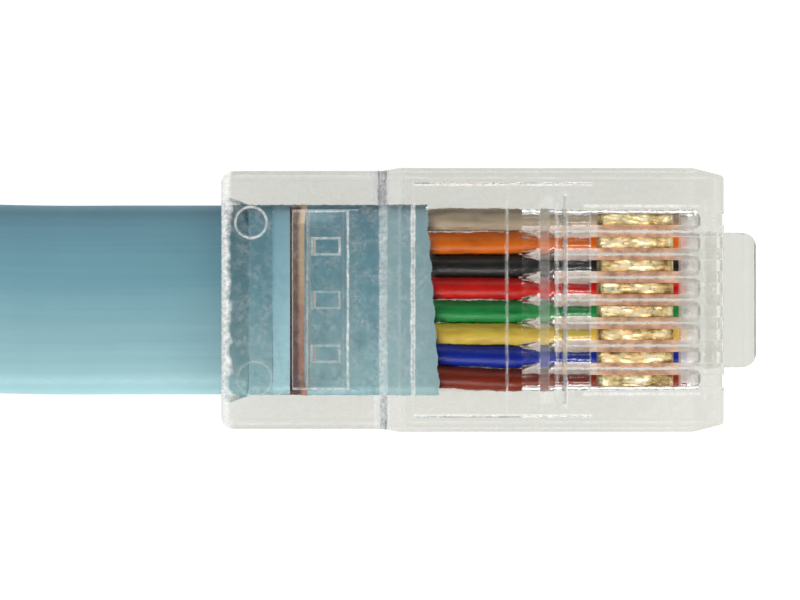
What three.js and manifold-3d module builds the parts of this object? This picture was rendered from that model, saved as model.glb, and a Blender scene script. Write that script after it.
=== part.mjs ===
// Flat eight-wire console cable with a clear eight-contact modular plug on each end, in millimetres, +Z up.
// The near plug lies level on the tip of its latch with its contacts up and its nose towards +X. The cable
// leaves it along -X, turns on edge and is wound into a flat round coil, with the far plug inside the coil.
import * as THREE from "three";
import { mergeVertices } from "three/addons/utils/BufferGeometryUtils.js";
import Module from "manifold-3d";

const wasm = await Module();
wasm.setup();

// Housing, measured from its rear face (x = 0), its middle (y = 0) and the underside of its heel (z = 0)
const bodyLength = 22.3;
const frontWidth = 11.68;
const frontHeight = 6.6;
const rearWidth = 11.44;
const rearLength = 7.2;
const rampLength = 0.7;
const heelDrop = 1.4; // the rear section reaches this far below the front one
const topDrop = 0.35; // and its top lies this far below the front's
const rearCorner = 0.67;
const noseTaperLength = 1.4;
const noseTaperDepth = 0.35;
const housingRound = 0.3; // on the edges along its rear and its nose

// Flat cable and its entry
const jacketWidth = 8.5;
const jacketThickness = 2.4;
const jacketCorner = 1.1;
const jacketAxis = 4.0; // height of the cable's middle in the plug
const jacketInside = 9.4; // length of jacket inside the housing
const jacketClearance = 0.1;
const mouthLength = 1.3;
const mouthFlare = 0.45;

// Wires, their flat cavity and their round channels
const wireColours = [
  ["grey", 0x9a9284],
  ["orange", 0xe8701a],
  ["black", 0x242428],
  ["red", 0xc41a20],
  ["green", 0x14803c],
  ["yellow", 0xd8ac3e],
  ["blue", 0x1c3094],
  ["brown", 0x6e2c18],
];
const wirePitch = 1.02;
const wireDiameter = 0.87;
const wireGap = 0.05; // between the jacket's end and the wires
const wireEnd = 20.8;
const wireSides = 10;
const cavityClearance = 0.08;
const cavityEnd = 13.5;
const funnelLength = 0.6;
const channelBore = 0.93;
const channelEnd = 21.2;
const channelSides = 12;

// Contact blades and their slots
const contactStart = 16.75;
const contactLength = 3.35;
const contactThickness = 0.46;
const contactRecess = 0.6; // tops lie this far below the housing's top
const contactShoulder = 0.45;
const tineLength = 0.7;
const tineInset = 0.45; // from the blade's ends
const tinePoint = 0.15; // the tines stop this far above the middle of the wire's underside
const tineClearance = 0.04;
const bladeNoseRound = 0.7;
const bladeHeelRound = 0.25;
const slotClearance = 0.1;
const slotLead = 0.35;
const noseGrooveDepth = 1.5;

// Transverse groove behind the contacts
const combGrooveStart = 14.1;
const combGrooveLength = 1.2;
const combGrooveDepth = 0.8;
const combGrooveWidth = 9.2;

// Strain-relief pocket and the wedge bar pressed into the jacket
const pocketStart = 2.4;
const pocketLength = 3.8;
const pocketWidth = 8.3;
const barStart = 3.1;
const barTipLength = 0.65;
const barPress = 0.45; // how far the tip sinks into the jacket
const barTipHeight = 0.55;
const barStep = 0.275; // from the tip's top up to the start of the sloping face
const barHeight = 1.25;
const barRoot = 0.6; // the bar runs this far into the wall in front of the pocket
const barSideGap = 0.12;
const barClearance = 0.05;
const barMarks = [
  [2.4, 0.75],
  [0, 0.75],
  [-2.4, 0.7],
]; // middle and width of each mark across the bar
const barMarkInset = 0.25; // from the lower edge of the sloping face
const barMarkLength = 1.35;
const barMarkDepth = 0.3;

// Round ejector marks on the rear section's top: x, y and radius
const ejectorMarks = [
  [1.34, 3.44, 0.73],
  [1.5, -3.5, 0.8],
];
const ejectorDepth = 0.1;
const ejectorSides = 24;

// Latch
const latchWidth = 6.1;
const leverWidth = 3.25;
const tongueReach = 1.75; // past the nose
const tongueHeight = 1.7; // above the front section's underside
const tongueCorner = 0.8;
const latchGap = 0.05;
const shoulderAt = 14.0;
const leverTip = 6.6;
const tipDrop = 3.2; // below the heel
const tipThickness = 0.95;
const tipFoot = 0.9; // flat length under the lever's tip
const rootThickness = 1.3;
const latchClearance = 0.35; // between the latch's root and the underside
const leverCorner = 0.5;
const leverRound = 0.2; // on the edges across the lever's tip, and where the shoulder meets the lever
const tongueRound = 0.6; // on the edges across the tongue's end

// Coil and its straps
const strapThickness = 0.6;
const strapWidth = 8;
const strapLift = 0.1; // gap between strap and coil, above and below
const strapSideGap = 0.3;
const strapOverlap = 9;
const strapAngles = [-38, 128];
const turnPitch = 3.05;
const coilTurns = 6.25;
const outerTurnRadius = 52.4;
const coilSegments = 40;
const runSteps = 24;
const tailSteps = 18;
const turnGrooveWidth = 0.7;
const turnGrooveDepth = 0.7;
const faceGap = 0.3; // between two lengths of cable that meet
const restGap = 0.01;
const overcut = 1; // how far a cutting shape reaches past the face that it cuts

// Route of the cable from the near plug's rear face to the coil. Each row holds the distance gone, the shift
// to the side, the share of the way down to the coil's height, and the twist in degrees.
const runRoute = [
  [0, 0, 0, 0],
  [4, 0, 0, 0],
  [8, 0, 0.03, 0],
  [12, 0.1, 0.1, 2],
  [17, 0.3, 0.22, 10],
  [22, 0.7, 0.36, 24],
  [27, 1.3, 0.5, 41],
  [32, 2.0, 0.63, 57],
  [37, 2.8, 0.75, 70],
  [42, 3.5, 0.85, 80],
  [47, 4.1, 0.92, 86],
  [52, 4.4, 0.96, 89],
  [57, 4.55, 0.99, 90],
  [62, 4.6, 1, 90],
  [67.75, 4.6, 1, 90],
];

// Route from the coil's inner end to the far plug: x and y from that end, and the share of the rise to the
// height at which the far plug lies on its side
const tailRoute = [
  [0, 0, 0],
  [0.68, -5.18, 0.05],
  [2.68, -10.0, 0.2],
  [5.86, -14.14, 0.4],
  [10.0, -17.32, 0.6],
  [14.82, -19.32, 0.8],
  [20.0, -20.0, 0.95],
  [25.18, -19.32, 1],
  [30.0, -17.32, 1],
  [34.33, -14.82, 1],
];

// Places that follow from the sizes above
const frontTop = heelDrop + frontHeight;
const rearTop = frontTop - topDrop;
const rampEnd = rearLength + rampLength;
const jacketTop = jacketAxis + jacketThickness / 2;
const pocketEnd = pocketStart + pocketLength;
const contactEnd = contactStart + contactLength;
const contactTop = frontTop - contactRecess;
const contactFoot = jacketAxis + wireDiameter / 2 + contactShoulder;
const tineTip = jacketAxis - wireDiameter / 2 + tinePoint + wireDiameter / 4;
const tineStarts = [
  contactStart + tineInset,
  contactEnd - tineInset - tineLength,
];
const slotStart = contactStart - slotLead;
const slotEnd = contactEnd + slotLead;
const slotWidth = contactThickness + 2 * slotClearance;
const plugLength = bodyLength + tongueReach;
const exitX = -plugLength / 2;
const exitHeight = tipDrop + jacketAxis;
const coilBottom = strapThickness + strapLift;
const coilHeight = coilBottom + jacketWidth / 2;
const innerTurnRadius = outerTurnRadius - coilTurns * turnPitch;
const coilOuter = outerTurnRadius + jacketThickness / 2;
const coilInner = innerTurnRadius - jacketThickness / 2;
const farPlugHeight = frontWidth / 2 + restGap;

const clearPlastic = () =>
  new THREE.MeshStandardMaterial({
    color: 0xe6eef0,
    roughness: 0.06,
    metalness: 0,
    transparent: true,
    opacity: 0.35,
  });
const goldPlate = () =>
  new THREE.MeshStandardMaterial({ color: 0xd9a441, roughness: 0.25, metalness: 1 });
const insulation = (colour) =>
  new THREE.MeshStandardMaterial({ color: colour, roughness: 0.45, metalness: 0 });
const jacketPlastic = () =>
  new THREE.MeshStandardMaterial({ color: 0x7fb3c4, roughness: 0.5, metalness: 0 });
const strapFabric = () =>
  new THREE.MeshStandardMaterial({ color: 0x2b2d30, roughness: 0.85, metalness: 0 });

function toSolid(geometry) {
  const bare = geometry.index ? geometry.toNonIndexed() : geometry.clone();
  bare.deleteAttribute("normal");
  bare.deleteAttribute("uv");
  const merged = mergeVertices(bare, 1e-4);
  const triVerts = new Uint32Array(merged.index.array);
  const vertProperties = merged.attributes.position.array;
  return new wasm.Manifold(new wasm.Mesh({ numProp: 3, vertProperties, triVerts }));
}

function toGeometry(solid) {
  const mesh = solid.getMesh();
  return new THREE.BufferGeometry()
    .setAttribute("position", new THREE.BufferAttribute(mesh.vertProperties, 3))
    .setIndex(new THREE.BufferAttribute(mesh.triVerts, 1));
}

function cutAll(solid, tools) {
  return tools.reduce((left, tool) => left.subtract(toSolid(tool)), solid);
}

function joinAll(solid, additions) {
  return additions.reduce((left, addition) => left.add(toSolid(addition)), solid);
}

// Closed outline from corners [a, b, radius], each rounded where it has a radius
function outline(corners) {
  const shape = new THREE.Shape();
  corners.forEach(([a, b, radius = 0], i) => {
    const corner = new THREE.Vector2(a, b);
    const before = new THREE.Vector2(...corners.at(i - 1));
    const after = new THREE.Vector2(...corners[(i + 1) % corners.length]);
    const enter = corner.clone().add(before.sub(corner).setLength(radius));
    const leave = corner.clone().add(after.sub(corner).setLength(radius));
    if (i === 0) shape.moveTo(enter.x, enter.y);
    else shape.lineTo(enter.x, enter.y);
    if (radius > 0) shape.quadraticCurveTo(a, b, leave.x, leave.y);
  });
  return shape;
}

function extrude(shape, depth, curveSegments = 3, steps = 1) {
  return new THREE.ExtrudeGeometry(shape, { depth, steps, curveSegments, bevelEnabled: false });
}

// Prism over an outline in x and z, as wide as asked and centred on y
function sidePrism(corners, width, y = 0) {
  const prism = extrude(outline(corners), width);
  return prism.rotateX(Math.PI / 2).translate(0, y + width / 2, 0);
}

// Prism over an outline in x and y, from one height to another
function planPrism(corners, bottom, top, curveSegments = 3) {
  return extrude(outline(corners), top - bottom, curveSegments).translate(0, 0, bottom);
}

function box(xs, ys, zs) {
  const sizes = [xs, ys, zs].map(([low, high]) => high - low);
  const middles = [xs, ys, zs].map(([low, high]) => (low + high) / 2);
  return new THREE.BoxGeometry(...sizes).translate(...middles);
}

// Rod or cone along x
function rod(startRadius, endRadius, start, end, y, z, sides) {
  return new THREE.CylinderGeometry(endRadius, startRadius, end - start, sides)
    .rotateZ(-Math.PI / 2)
    .translate((start + end) / 2, y, z);
}

function jacketSection(grow = 0) {
  const u = jacketThickness / 2 + grow;
  const v = jacketWidth / 2 + grow;
  const corner = jacketCorner + grow;
  return outline([
    [-u, -v, corner],
    [u, -v, corner],
    [u, v, corner],
    [-u, v, corner],
  ]);
}

// Straight length of the jacket's section along x, at the height of the cable in the plug
function jacketBar(start, end, grow = 0) {
  return extrude(jacketSection(grow), end - start)
    .rotateZ(Math.PI / 2)
    .rotateX(Math.PI / 2)
    .rotateZ(Math.PI / 2)
    .translate(start, 0, jacketAxis);
}

const wireRows = wireColours.map((_, i) => ((wireColours.length - 1) / 2 - i) * wirePitch);

function bodyBlank() {
  const side = sidePrism(
    [
      [0, 0, housingRound],
      [rearLength, 0],
      [rampEnd, heelDrop],
      [bodyLength, heelDrop],
      [bodyLength, frontTop, housingRound],
      [rampEnd, frontTop],
      [rearLength, rearTop],
      [0, rearTop, housingRound],
    ],
    frontWidth,
  );
  const rearHalf = rearWidth / 2;
  const frontHalf = frontWidth / 2;
  const noseHalf = frontHalf - noseTaperDepth;
  const taperStart = bodyLength - noseTaperLength;
  const plan = planPrism(
    [
      [0, -rearHalf, rearCorner],
      [rearLength, -rearHalf],
      [rampEnd, -frontHalf],
      [taperStart, -frontHalf],
      [bodyLength, -noseHalf],
      [bodyLength, noseHalf],
      [taperStart, frontHalf],
      [rampEnd, frontHalf],
      [rearLength, rearHalf],
      [0, rearHalf, rearCorner],
    ],
    -overcut,
    frontTop + overcut,
    4,
  );
  return toSolid(side).intersect(toSolid(plan));
}

// Flared rectangular mouth at the rear face, narrowing to the jacket's cavity
function mouth() {
  const cone = new THREE.BoxGeometry(1, 1, 1);
  const place = cone.attributes.position;
  for (let i = 0; i < place.count; i++) {
    const outside = place.getX(i) < 0;
    const grow = outside ? mouthFlare : 0;
    place.setXYZ(
      i,
      outside ? -restGap : mouthLength,
      Math.sign(place.getY(i)) * (jacketWidth / 2 + grow),
      jacketAxis + Math.sign(place.getZ(i)) * (jacketThickness / 2 + grow),
    );
  }
  return cone;
}

// Side outline of the wedge bar, grown by a clearance where the jacket is cut for it
function barOutline(clearance = 0) {
  const tipBottom = jacketTop - barPress - clearance;
  const rootBottom = jacketTop + barClearance;
  const tipTop = tipBottom + barTipHeight;
  return [
    [barStart - clearance, tipBottom],
    [barStart + barTipLength, tipBottom],
    [pocketEnd, rootBottom],
    [pocketEnd + barRoot, rootBottom],
    [pocketEnd + barRoot, rootBottom + barHeight],
    [pocketEnd - barRoot, rootBottom + barHeight],
    [barStart + barTipLength, tipTop + barStep],
    [barStart - clearance, tipTop],
  ];
}

function wedgeBar() {
  const bar = sidePrism(barOutline(), pocketWidth - 2 * barSideGap);
  const [[highX, highZ], [lowX, lowZ]] = barOutline().slice(-3, -1); // ends of the sloping face
  const slope = Math.atan2(highZ - lowZ, highX - lowX);
  const upSlope = barMarkInset + barMarkLength / 2;
  const marks = barMarks.map(([y, width]) =>
    new THREE.BoxGeometry(barMarkLength, width, barMarkDepth * 2)
      .rotateY(-slope)
      .translate(lowX + upSlope * Math.cos(slope), y, lowZ + upSlope * Math.sin(slope)),
  );
  return cutAll(toSolid(bar), marks);
}

function contactSlots() {
  return wireRows.flatMap((y) => {
    const across = [y - slotWidth / 2, y + slotWidth / 2];
    return [
      box([slotStart, slotEnd], across, [jacketAxis, frontTop + overcut]),
      box(
        [slotEnd - restGap, bodyLength + overcut],
        across,
        [frontTop - noseGrooveDepth, frontTop + overcut],
      ),
    ];
  });
}

function wireChannels() {
  const bore = channelBore / 2;
  const funnelStart = wirePitch / 2 - restGap / 4;
  return wireRows.flatMap((y) => [
    rod(bore, bore, cavityEnd - restGap, channelEnd, y, jacketAxis, channelSides),
    rod(funnelStart, bore, cavityEnd - restGap, cavityEnd + funnelLength, y, jacketAxis, channelSides),
  ]);
}

function housingSolid() {
  const halfCavity = wireDiameter / 2 + cavityClearance;
  const rowHalf = wireRows[0] + halfCavity;
  const pocketHalf = pocketWidth / 2;
  const tools = [
    mouth(),
    jacketBar(-overcut, jacketInside + wireGap, jacketClearance),
    box(
      [jacketInside, cavityEnd],
      [-rowHalf, rowHalf],
      [jacketAxis - halfCavity, jacketAxis + halfCavity],
    ),
    box([pocketStart, pocketEnd], [-pocketHalf, pocketHalf], [jacketAxis, rearTop + overcut]),
    box(
      [combGrooveStart, combGrooveStart + combGrooveLength],
      [-combGrooveWidth / 2, combGrooveWidth / 2],
      [frontTop - combGrooveDepth, frontTop + overcut],
    ),
    ...wireChannels(),
    ...contactSlots(),
    ...ejectorMarks.map(([x, y, radius]) =>
      new THREE.CylinderGeometry(radius, radius, 2 * ejectorDepth, ejectorSides)
        .rotateX(Math.PI / 2)
        .translate(x, y, rearTop),
    ),
  ];
  return cutAll(bodyBlank(), tools).add(wedgeBar());
}

function latchSolid() {
  const nose = bodyLength + latchGap;
  const tongueEnd = plugLength;
  const rootTop = heelDrop - latchClearance;
  const rootBottom = rootTop - rootThickness;
  const tipTop = tipThickness - tipDrop;
  const side = sidePrism(
    [
      [nose, heelDrop + tongueHeight],
      [nose, rootTop + latchGap],
      [nose - latchClearance, rootTop],
      [leverTip, tipTop, leverRound],
      [leverTip, -tipDrop, leverRound],
      [leverTip + tipFoot, -tipDrop],
      [nose - tongueCorner, rootBottom, leverRound],
      [tongueEnd, rootBottom + rootThickness / 2, tongueRound],
      [tongueEnd, heelDrop + tongueHeight, tongueRound],
    ],
    latchWidth,
  );
  const wide = latchWidth / 2;
  const narrow = leverWidth / 2;
  const plan = planPrism(
    [
      [tongueEnd, -wide, tongueCorner],
      [tongueEnd, wide, tongueCorner],
      [shoulderAt, wide, leverRound],
      [shoulderAt, narrow],
      [leverTip, narrow, leverCorner],
      [leverTip, -narrow, leverCorner],
      [shoulderAt, -narrow],
      [shoulderAt, -wide, leverRound],
    ],
    -tipDrop - overcut,
    frontTop,
  );
  return toSolid(side).intersect(toSolid(plan));
}

function contactSolid(y) {
  const tines = tineStarts.flatMap((start) => [
    [start, contactFoot],
    [start, tineTip + tineLength / 2],
    [start + tineLength / 2, tineTip],
    [start + tineLength, tineTip + tineLength / 2],
    [start + tineLength, contactFoot],
  ]);
  const blade = sidePrism(
    [
      [contactStart, contactFoot],
      ...tines,
      [contactEnd, contactFoot],
      [contactEnd, contactTop, bladeNoseRound],
      [contactStart, contactTop, bladeHeelRound],
    ],
    contactThickness,
    y,
  );
  return toSolid(blade);
}

function wireSolid(y) {
  const radius = wireDiameter / 2;
  const wire = rod(radius, radius, jacketInside + wireGap, wireEnd, y, jacketAxis, wireSides);
  const notchHalf = contactThickness / 2 + tineClearance;
  const notches = tineStarts.map((start) =>
    box(
      [start - tineClearance, start + tineLength + tineClearance],
      [y - notchHalf, y + notchHalf],
      [tineTip - tineClearance, jacketAxis + wireDiameter],
    ),
  );
  return cutAll(toSolid(wire), notches);
}

function jacketEndSolid() {
  const cut = sidePrism(barOutline(barClearance), pocketWidth);
  return cutAll(toSolid(jacketBar(0, jacketInside)), [cut]);
}

function part(name, solid, material) {
  const mesh = new THREE.Mesh(toGeometry(solid), material);
  mesh.name = name;
  return mesh;
}

// One plug with the wires in the order given, from its left side to its right seen from behind, contacts up
function plug(prefix, colours) {
  const group = new THREE.Group();
  group.add(part(prefix + "plug_housing", housingSolid(), clearPlastic()));
  group.add(part(prefix + "plug_latch", latchSolid(), clearPlastic()));
  group.add(part(prefix + "jacket_end", jacketEndSolid(), jacketPlastic()));
  wireRows.forEach((y, i) => {
    const [colourName, colour] = colours[i];
    const number = wireColours.findIndex(([name]) => name === colourName) + 1;
    group.add(part(`${prefix}contact_${i + 1}`, contactSolid(y), goldPlate()));
    group.add(part(`${prefix}wire_${number}_${colourName}`, wireSolid(y), insulation(colour)));
  });
  return group;
}

// Solid of the jacket's section swept through route points, turned about the route by each point's twist
function sweptJacket(points, twists, steps) {
  const curve = new THREE.CatmullRomCurve3(points, false, "catmullrom", 0.5);
  const swept = extrude(jacketSection(), 1, 3, steps);
  const place = swept.attributes.position;
  const up = new THREE.Vector3(0, 0, 1);
  for (let i = 0; i < place.count; i++) {
    const along = place.getZ(i);
    const at = along * (twists.length - 1);
    const row = Math.min(Math.floor(at), twists.length - 2);
    const twist = THREE.MathUtils.degToRad(THREE.MathUtils.lerp(twists[row], twists[row + 1], at - row));
    const tangent = curve.getTangent(along);
    const side = tangent.clone().cross(up).normalize();
    const rise = side.clone().cross(tangent);
    const normal = rise.clone().multiplyScalar(Math.cos(twist)).addScaledVector(side, Math.sin(twist));
    const across = side.clone().multiplyScalar(Math.cos(twist)).addScaledVector(rise, -Math.sin(twist));
    const point = curve
      .getPoint(along)
      .addScaledVector(normal, place.getX(i))
      .addScaledVector(across, place.getY(i));
    place.setXYZ(i, point.x, point.y, point.z);
  }
  return { solid: toSolid(swept), end: curve.getPoint(1), heading: curve.getTangent(1) };
}

const joinPoint = new THREE.Vector3(exitX - runRoute.at(-1)[0], runRoute.at(-1)[1], coilHeight);
const coilCentre = joinPoint.clone().add(new THREE.Vector3(0, -outerTurnRadius, 0));

// Round bar about the coil's axis, to cut the cable where it meets the coil
function coilCore(radius) {
  return toSolid(
    new THREE.CylinderGeometry(radius, radius, 4 * coilHeight, 2 * coilSegments)
      .rotateX(Math.PI / 2)
      .translate(coilCentre.x, coilCentre.y, 0),
  );
}

function cableRun() {
  const points = runRoute.map(
    ([gone, aside, sink]) =>
      new THREE.Vector3(exitX - gone, aside, THREE.MathUtils.lerp(exitHeight, coilHeight, sink)),
  );
  points[0].x -= faceGap;
  const twists = runRoute.map((row) => row[3]);
  const run = sweptJacket(points, twists, runSteps);
  return part("cable_run", run.solid.subtract(coilCore(coilOuter + faceGap)), jacketPlastic());
}

function cableTail() {
  const points = tailRoute.map(
    ([x, y, rise]) =>
      new THREE.Vector3(
        coilCentre.x - innerTurnRadius + x,
        coilCentre.y + y,
        THREE.MathUtils.lerp(coilHeight, farPlugHeight, rise),
      ),
  );
  const twists = tailRoute.map(() => 90);
  const tail = sweptJacket(points, twists, tailSteps);
  const solid = tail.solid.intersect(coilCore(coilInner - faceGap));
  return { mesh: part("cable_tail", solid, jacketPlastic()), end: tail.end, heading: tail.heading };
}

// One face of the coil from one radius to another, with a groove between each two turns
function coilFace(height, grooveHeight, from, to) {
  const turns = Math.round(Math.abs(to - from) / turnPitch);
  const points = [new THREE.Vector2(from, height)];
  for (let i = 1; i < turns; i++) {
    const radius = THREE.MathUtils.lerp(from, to, i / turns);
    const half = (Math.sign(to - from) * turnGrooveWidth) / 2;
    points.push(new THREE.Vector2(radius - half, height));
    points.push(new THREE.Vector2(radius, grooveHeight));
    points.push(new THREE.Vector2(radius + half, height));
  }
  points.push(new THREE.Vector2(to, height));
  return points;
}

function cableCoil() {
  const top = coilBottom + jacketWidth;
  const profile = [
    ...coilFace(top, top - turnGrooveDepth, coilOuter, coilInner),
    ...coilFace(coilBottom, coilBottom + turnGrooveDepth, coilInner, coilOuter),
  ];
  profile.push(profile[0].clone());
  const ring = new THREE.LatheGeometry(profile, coilSegments)
    .rotateX(Math.PI / 2)
    .translate(coilCentre.x, coilCentre.y, 0);
  return part("cable_coil", toSolid(ring), jacketPlastic());
}

// Flat strap closed round the coil's turns, its end lapped over the top
function coilStrap(number, degrees) {
  const chord = Math.sqrt(coilInner ** 2 - (strapWidth / 2) ** 2);
  const inner = chord - strapSideGap;
  const outer = coilOuter + strapSideGap;
  const top = coilBottom + jacketWidth + strapLift;
  const loop = (grow, low) => [
    [inner - grow, low, grow],
    [outer + grow, low, grow],
    [outer + grow, top + grow, grow],
    [inner - grow, top + grow, grow],
  ];
  const half = strapWidth / 2;
  const whole = toSolid(sidePrism(loop(strapThickness, 0), strapWidth));
  const hole = sidePrism(loop(0, strapThickness), strapWidth + overcut);
  const lapStart = outer - strapOverlap;
  const lap = box(
    [lapStart, outer],
    [-half, half],
    [top + strapThickness - restGap, top + 2 * strapThickness],
  );
  const mesh = part(`coil_strap_${number}`, joinAll(cutAll(whole, [hole]), [lap]), strapFabric());
  mesh.position.set(coilCentre.x, coilCentre.y, 0);
  mesh.rotation.z = THREE.MathUtils.degToRad(degrees);
  return mesh;
}

function cableAssembly() {
  const group = new THREE.Group();
  const near = plug("", wireColours);
  near.position.set(exitX, 0, tipDrop);
  const tail = cableTail();
  const far = plug("far_", wireColours.toReversed());
  const noseAxis = tail.heading.clone().setZ(0).normalize();
  const contactSide = noseAxis.clone().cross(new THREE.Vector3(0, 0, 1));
  const across = contactSide.clone().cross(noseAxis);
  far.quaternion.setFromRotationMatrix(new THREE.Matrix4().makeBasis(noseAxis, across, contactSide));
  far.position
    .copy(tail.end)
    .addScaledVector(noseAxis, faceGap)
    .addScaledVector(contactSide, -jacketAxis);
  group.add(near, cableRun(), cableCoil(), tail.mesh, far);
  strapAngles.forEach((degrees, i) => group.add(coilStrap(i + 1, degrees)));
  return group;
}

export default cableAssembly();
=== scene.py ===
import math

import bmesh
import bpy
from mathutils import Matrix, Vector, noise


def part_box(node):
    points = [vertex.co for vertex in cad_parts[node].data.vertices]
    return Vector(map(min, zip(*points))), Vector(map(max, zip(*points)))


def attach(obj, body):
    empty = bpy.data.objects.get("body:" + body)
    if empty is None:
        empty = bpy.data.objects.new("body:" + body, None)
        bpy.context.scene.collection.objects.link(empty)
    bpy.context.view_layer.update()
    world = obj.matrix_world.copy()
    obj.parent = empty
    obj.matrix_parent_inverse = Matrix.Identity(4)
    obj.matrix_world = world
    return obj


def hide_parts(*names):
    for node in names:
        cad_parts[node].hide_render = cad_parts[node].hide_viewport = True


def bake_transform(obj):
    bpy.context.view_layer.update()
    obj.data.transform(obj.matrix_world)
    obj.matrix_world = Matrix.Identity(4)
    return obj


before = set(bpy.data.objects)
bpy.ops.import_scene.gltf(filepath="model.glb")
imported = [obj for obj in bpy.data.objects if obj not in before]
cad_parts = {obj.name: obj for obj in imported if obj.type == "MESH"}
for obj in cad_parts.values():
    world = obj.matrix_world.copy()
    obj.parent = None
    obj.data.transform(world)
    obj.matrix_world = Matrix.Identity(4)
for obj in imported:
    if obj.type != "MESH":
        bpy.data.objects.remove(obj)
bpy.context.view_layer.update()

scene = bpy.context.scene
mm = 0.001  # meshes are drawn in millimetres and placed in metres
print("frame loaded:", len(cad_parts), "nodes")

# A plug is drawn in its own frame: x from its rear face to its nose, y across, z up from its heel
housingLow, housingHigh = (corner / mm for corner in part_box("plug_housing"))
latchLow, latchHigh = (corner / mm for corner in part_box("plug_latch"))
plug = {
    "length": housingHigh.x - housingLow.x,
    "width": housingHigh.y - housingLow.y,
    "top": housingHigh.z - housingLow.z,
    "tongueEnd": latchHigh.x - housingLow.x,
    "tipDrop": housingLow.z - latchLow.z,
    "heelDrop": 1.4,
    "axis": 4.0,  # height of the cable's middle
    "pitch": 1.02,
    "wires": 8,
}
jacket = {"width": 8.5, "thickness": 2.4, "corner": 1.05, "crown": 0.12, "inside": 9.4, "seam": 1.2}
jacket["pressedCorner"] = 0.45  # squarer where the housing grips it
wireRows = [((plug["wires"] - 1) / 2 - i) * plug["pitch"] for i in range(plug["wires"])]
wireColours = {
    "grey": (0.55, 0.44, 0.31),
    "orange": (0.95, 0.19, 0.005),
    "black": (0.008, 0.007, 0.006),
    "red": (0.76, 0.010, 0.004),
    "green": (0.009, 0.31, 0.06),
    "yellow": (1.0, 0.68, 0.09),
    "blue": (0.003, 0.024, 0.40),
    "brown": (0.26, 0.023, 0.004),
}


def addCamera():
    view = {"pixelsPerMm": 22.4, "middle": (-4.08, 0.0), "subject": 9.0, "distance": 250.0, "sensor": 36.0}
    camera = bpy.data.objects.new("camera", bpy.data.cameras.new("camera"))
    scene.collection.objects.link(camera)
    camera.data.sensor_width = view["sensor"]
    camera.data.lens = view["sensor"] * view["distance"] * view["pixelsPerMm"] / 800
    camera.data.clip_start = 0.002
    camera.data.clip_end = 20
    x, y = view["middle"]
    camera.location = Vector((x, y, view["subject"] + view["distance"])) * mm
    scene.camera = camera


addCamera()


# Node trees: one way to add a node, and sums written on sockets
def addNode(tree, kind, settings=None, sockets=None):
    node = tree.nodes.new(kind)
    for name, value in (settings or {}).items():
        if name == "stops":
            ramp = node.color_ramp
            while len(ramp.elements) < len(value):
                ramp.elements.new(0.5)
            for element, (place, colour) in zip(ramp.elements, value):
                element.position = place
                element.color = (*colour, 1)
        else:
            setattr(node, name, value)
    for name, value in (sockets or {}).items():
        socket = node.inputs[name]
        value = value.socket if isinstance(value, Signal) else value
        if isinstance(value, bpy.types.NodeSocket):
            tree.links.new(value, socket)
        elif socket.type == "RGBA" and len(value) == 3:
            socket.default_value = (*value, 1)
        else:
            socket.default_value = value
    return node


class Signal:
    def __init__(self, tree, socket):
        self.tree = tree
        self.socket = socket

    def maths(self, operation, first, second=0.0):
        node = addNode(self.tree, "ShaderNodeMath", {"operation": operation}, {0: first, 1: second})
        return Signal(self.tree, node.outputs[0])

    def __add__(self, other):
        return self.maths("ADD", self, other)

    def __radd__(self, other):
        return self.maths("ADD", other, self)

    def __sub__(self, other):
        return self.maths("SUBTRACT", self, other)

    def __rsub__(self, other):
        return self.maths("SUBTRACT", other, self)

    def __mul__(self, other):
        return self.maths("MULTIPLY", self, other)

    def __rmul__(self, other):
        return self.maths("MULTIPLY", other, self)

    def __abs__(self):
        return self.maths("ABSOLUTE", self)

    def __or__(self, other):  # the stronger of two masks
        return self.maths("MAXIMUM", self, other)

    def sine(self):
        return self.maths("SINE", self)

    def near(self, middle, half, fade):  # 1 close to the middle, fading away beyond half
        return abs(self - middle).spread(half, half + fade, 1.0, 0.0)

    def spread(self, low, high, outLow=0.0, outHigh=1.0):
        sockets = {"Value": self, "From Min": low, "From Max": high, "To Min": outLow, "To Max": outHigh}
        return Signal(self.tree, addNode(self.tree, "ShaderNodeMapRange", {}, sockets).outputs[0])


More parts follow.
